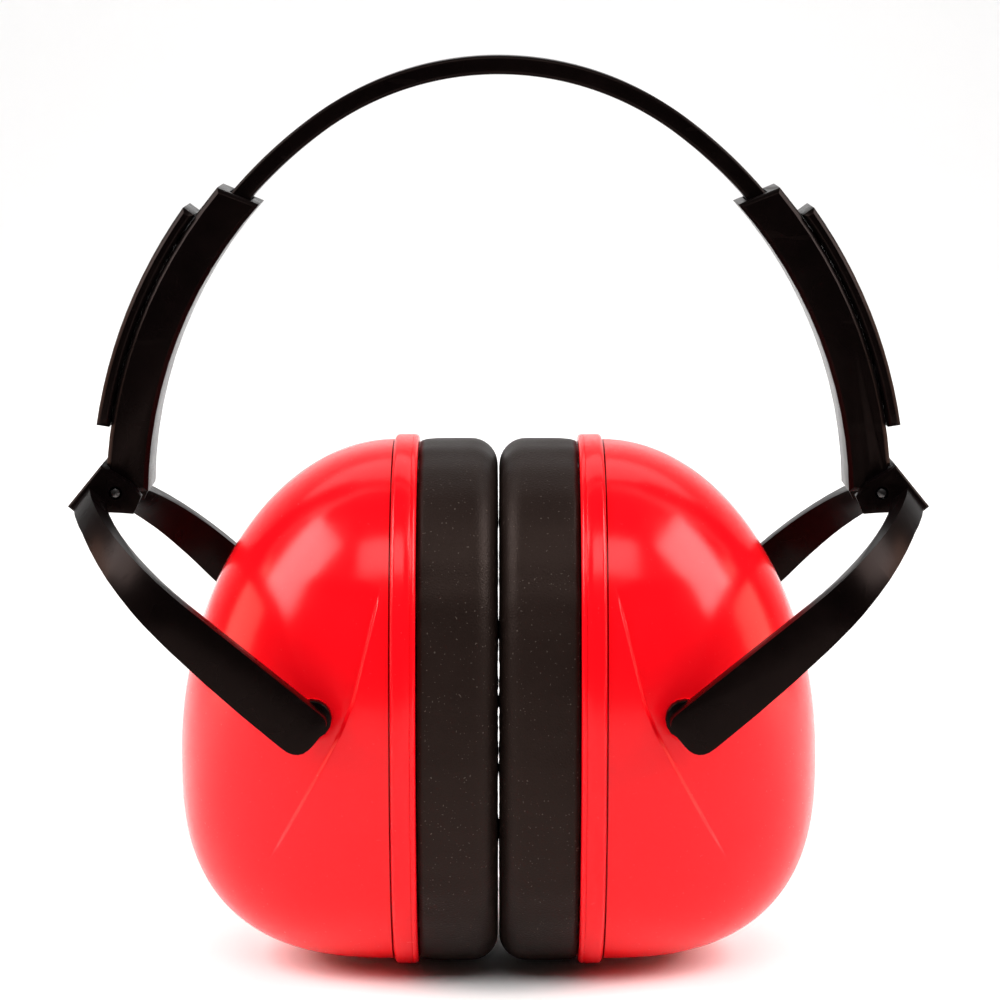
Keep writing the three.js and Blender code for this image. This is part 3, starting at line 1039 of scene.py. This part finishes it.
@dataclass
class Yoke:
    """The two-pronged yoke and its studs."""

    side: Side
    finishes: Finishes

    def build(self) -> None:
        """Builds the yoke's pieces from their solids, with rounded edges."""
        for node, piece, body, slot, edge in (
            ("yoke", "fork", "fork", "black_plastic", 0.45),
            ("front_stud", "front_pivot", "fork", "black_plastic", 0.35),
            ("rear_stud", "rear_pivot", "fork", "black_plastic", 0.35),
        ):
            name = self.side.name(node)
            made = refined(name, self.side.name(piece), self.side, edge, segments=3)
            dressed(made, self.side.name(body), self.finishes, slot, name)


# ---------------------------------------------------------------------------------------------------------
# Studio
# ---------------------------------------------------------------------------------------------------------


@dataclass
class Studio:
    """The pale floor, the soft lights and the camera."""

    distance: float = 0.690
    elevation: float = 8.5
    yaw: float = 0.0
    focal: float = 120.2
    aim: tuple[float, float, float] = (0.0003, 0.0, -0.0873)
    floor_z: float = -0.1840

    def floor(self) -> None:
        """A floor that curves up into a wall behind."""
        mesh = bmesh.new()
        verts = [mesh.verts.new((-3.0, -0.5, self.floor_z)), mesh.verts.new((3.0, -0.5, self.floor_z))]
        edge = mesh.edges.new(verts)
        run = bmesh.ops.extrude_edge_only(mesh, edges=[edge])
        moved = [item for item in run["geom"] if isinstance(item, bmesh.types.BMVert)]
        bmesh.ops.translate(mesh, vec=(0, 1.9, 0), verts=moved)
        edges = [item for item in run["geom"] if isinstance(item, bmesh.types.BMEdge)]
        bend = bmesh.ops.spin(
            mesh,
            geom=moved + edges,
            cent=(0, 1.4, self.floor_z + 0.8),
            axis=(1, 0, 0),
            dvec=(0, 0, 0),
            angle=math.pi / 2,
            steps=24,
            use_merge=False,
            use_normal_flip=False,
            use_duplicate=False,
        )
        last = [item for item in bend["geom_last"] if isinstance(item, bmesh.types.BMEdge)]
        up = bmesh.ops.extrude_edge_only(mesh, edges=last)
        bmesh.ops.translate(
            mesh, vec=(0, 0, 2.5), verts=[item for item in up["geom"] if isinstance(item, bmesh.types.BMVert)]
        )
        bmesh.ops.recalc_face_normals(mesh, faces=mesh.faces)
        for face in mesh.faces:
            face.smooth = True
        data = bpy.data.meshes.new("floor")
        mesh.to_mesh(data)
        mesh.free()
        made = bpy.data.objects.new("floor", data)
        bpy.context.scene.collection.objects.link(made)
        data.materials.append(PaleFloor().material())

    def light(
        self,
        name: str,
        place: Sequence[float],
        target: Sequence[float],
        size: Sequence[float],
        power: float,
        tint: tuple[float, float, float] = (1.0, 1.0, 1.0),
    ) -> None:
        """A soft box.

        Args:
            name: The light's name.
            place: Where it stands.
            target: The point that it looks at.
            size: Its width and height.
            power: Its power, in watts.
            tint: Its colour.
        """
        lamp = bpy.data.lights.new(name, "AREA")
        lamp.shape = "RECTANGLE"
        lamp.size, lamp.size_y = size
        lamp.energy = power
        lamp.color = tint
        made = bpy.data.objects.new(name, lamp)
        made.location = place
        made.rotation_euler = (Vector(target) - Vector(place)).to_track_quat("-Z", "Y").to_euler()
        bpy.context.scene.collection.objects.link(made)

    def camera(self) -> None:
        """The camera, at the object's height and a little above it."""
        yaw, rise = math.radians(self.yaw), math.radians(self.elevation)
        aim = Vector(self.aim)
        way = Vector((math.sin(yaw) * math.cos(rise), -math.cos(yaw) * math.cos(rise), math.sin(rise)))
        data = bpy.data.cameras.new("camera")
        data.lens = self.focal
        data.sensor_width = 36
        data.clip_start = 0.01
        made = bpy.data.objects.new("camera", data)
        made.location = aim + way * self.distance
        made.rotation_euler = (-way).to_track_quat("-Z", "Y").to_euler()
        bpy.context.scene.collection.objects.link(made)
        bpy.context.scene.camera = made

    def sky(self) -> None:
        """An even pale surround."""
        world = bpy.data.worlds.new("surround")
        world.use_nodes = True
        back = world.node_tree.nodes["Background"]
        back.inputs[0].default_value = (1, 1, 1, 1)
        back.inputs[1].default_value = 0.04
        bpy.context.scene.world = world

    def build(self) -> None:
        """Builds the whole studio."""
        self.floor()
        warm = (1.0, 0.60, 0.46)
        for name, sign in (("left", -1), ("right", 1)):
            self.light(f"{name}_box", (sign * 0.72, -0.16, 0.42), self.aim, (0.52, 0.52), 9)
            self.light(f"{name}_card", (sign * 0.85, 0.14, 0.02), self.aim, (0.40, 0.55), 3, warm)
        self.light("front_box", (0.0, -0.75, 0.80), self.aim, (0.9, 0.4), 6)
        self.light("floor_wash", (0.0, 0.55, 0.9), (0.0, 0.45, self.floor_z), (2.0, 0.8), 8)
        self.light("wall_wash", (0.0, 0.6, 0.5), (0.0, 2.2, 0.2), (2.4, 0.6), 18)
        self.camera()
        self.sky()
        bpy.context.scene.view_settings.view_transform = "Standard"


def main() -> None:
    """Builds the studio and the earmuff."""
    logging.basicConfig(level=logging.INFO, format="%(message)s")
    Studio().build()
    finishes = Finishes()
    for side in Side:
        HeadStrip(side, finishes).build()
        Arm(side, finishes).build()
        Yoke(side, finishes).build()
        Cup(side, finishes).build()
        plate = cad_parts[side.name("cushion_plate")]
        plate.data.materials.clear()
        plate.data.materials.append(finishes.of("black_plastic"))


if __name__ == "__main__":
    main()
